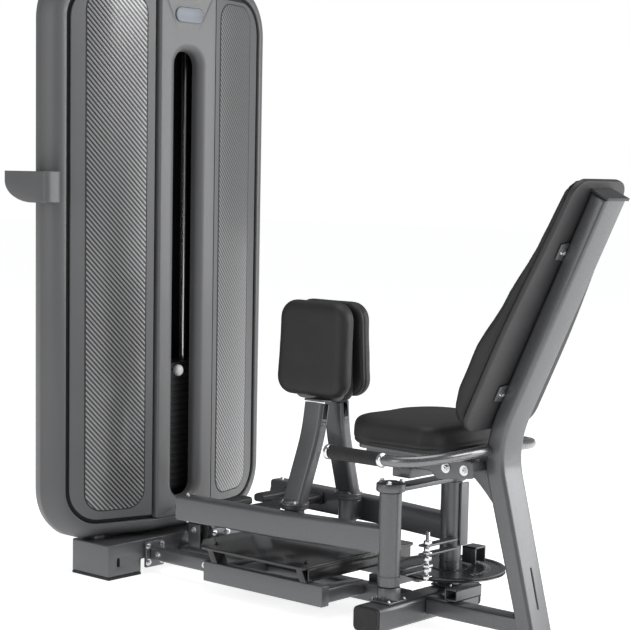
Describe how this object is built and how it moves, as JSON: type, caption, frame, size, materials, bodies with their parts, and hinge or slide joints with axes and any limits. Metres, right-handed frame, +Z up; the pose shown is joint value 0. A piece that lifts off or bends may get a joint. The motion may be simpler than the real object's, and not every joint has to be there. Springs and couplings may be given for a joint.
{
  "type": "hip abductor machine",
  "caption": "Seated hip machine: padded seat and reclined back, two swinging levers with thigh pads, and a covered weight stack tower.",
  "frame": {"origin": "middle of the bounding box, on the floor", "axes": "+Z up, +Y from the seat towards the weight tower, +X to the sitting person's right"},
  "size_m": [0.9224, 1.7204, 1.722],
  "materials": {
    "frame_paint": "satin metallic grey powder coat",
    "shroud_plastic": "satin moulded plastic",
    "carbon_look": "gloss panel with a diagonal carbon-look weave",
    "bright_steel": "polished",
    "gloss_dark": "gloss dark coating",
    "ribbed_dark": "moulded, satin",
    "stack_black": "matt black paint",
    "rubber": "matt",
    "upholstery": "fine-grained synthetic leather"
  },
  "bodies": {
    "root": {"front_foot_beam": "frame_paint", "tower_frame": "frame_paint", "top_pulley_fork": "frame_paint", "spine_tube": "frame_paint", "step_rail_right": "frame_paint", "step_rail_left": "frame_paint", "front_link_right": "frame_paint", "front_link_left": "frame_paint", "rear_foot": "frame_paint", "pivot_bridge": "frame_paint", "seat_frame": "frame_paint", "rear_upright": "frame_paint", "rear_spine_tube": "frame_paint", "side_band_right": "shroud_plastic", "side_band_left": "shroud_plastic", "front_cover_right": "shroud_plastic", "front_cover_left": "shroud_plastic", "rear_cover": "shroud_plastic", "middle_column": "shroud_plastic", "accessory_tray": "shroud_plastic", "panel_insert_right": "carbon_look", "panel_insert_left": "carbon_look", "front_plate": "bright_steel", "guide_rod_right": "bright_steel", "guide_rod_left": "bright_steel", "lift_cable": "bright_steel", "pivot_shaft_right": "bright_steel", "pivot_shaft_left": "bright_steel", "handle_tube_right": "bright_steel", "handle_tube_left": "bright_steel", "step_plate": "gloss_dark", "back_shell": "ribbed_dark", "resting_plates": "stack_black", "foot_pad_right": "rubber", "foot_pad_left": "rubber", "rear_foot_cap_right": "rubber", "rear_foot_cap_left": "rubber", "stack_buffer": "rubber", "upright_cap": "rubber", "handle_grip_right": "rubber", "handle_grip_left": "rubber", "seat_cushion": "upholstery", "back_cushion": "upholstery"},
    "left_lever": {"lever_left": "frame_paint", "lever_bumper_left": "rubber", "thigh_post_left": "frame_paint", "foot_rest_left": "ribbed_dark", "pad_plate_left": "frame_paint", "thigh_pad_left": "upholstery"},
    "right_lever": {"lever_right": "frame_paint", "lever_bumper_right": "rubber", "thigh_post_right": "frame_paint", "foot_rest_right": "ribbed_dark", "pad_plate_right": "frame_paint", "thigh_pad_right": "upholstery"},
    "carriage": {"top_weight": "stack_black", "selector_rod": "bright_steel"},
    "selector": {"selector_pin": "gloss_dark"},
    "top_wheel": {"top_pulley": "gloss_dark"},
    "low_wheel": {"low_pulley": "gloss_dark"}
  },
  "joints": [
    {"name": "lever_left_swing", "type": "hinge", "parent": "root", "child": "left_lever", "pos_m": [-0.0988, -0.29983, 0.225], "axis": [0, 0, 1], "range_deg": [0, 45]},
    {"name": "lever_right_swing", "type": "hinge", "parent": "root", "child": "right_lever", "pos_m": [0.1612, -0.29983, 0.225], "axis": [0, 0, 1], "range_deg": [-45, 0]},
    {"name": "stack_lift", "type": "slide", "parent": "root", "child": "carriage", "axis": [0, 0, 1], "range_m": [0, 0.2], "deforming": ["lift_cable"]},
    {"name": "selector_pin_pull", "type": "slide", "parent": "carriage", "child": "selector", "axis": [0, -1, 0], "range_m": [0, 0.06]},
    {"name": "top_pulley_spin", "type": "hinge", "parent": "root", "child": "top_wheel", "pos_m": [0.0312, 0.74157, 1.536], "axis": [1, 0, 0], "range_deg": [-260, 0]},
    {"name": "low_pulley_spin", "type": "hinge", "parent": "root", "child": "low_wheel", "pos_m": [0.0312, 0.52017, 0.116], "axis": [1, 0, 0], "range_deg": [-260, 0]}
  ],
  "couplings": [
    {"joint": "lever_right_swing", "follows": "lever_left_swing", "ratio": -1},
    {"joint": "stack_lift", "follows": "lever_left_swing", "m_per_rad": 0.22},
    {"joint": "top_pulley_spin", "follows": "lever_left_swing", "ratio": -5.3659},
    {"joint": "low_pulley_spin", "follows": "lever_left_swing", "ratio": -5.3659}
  ]
}
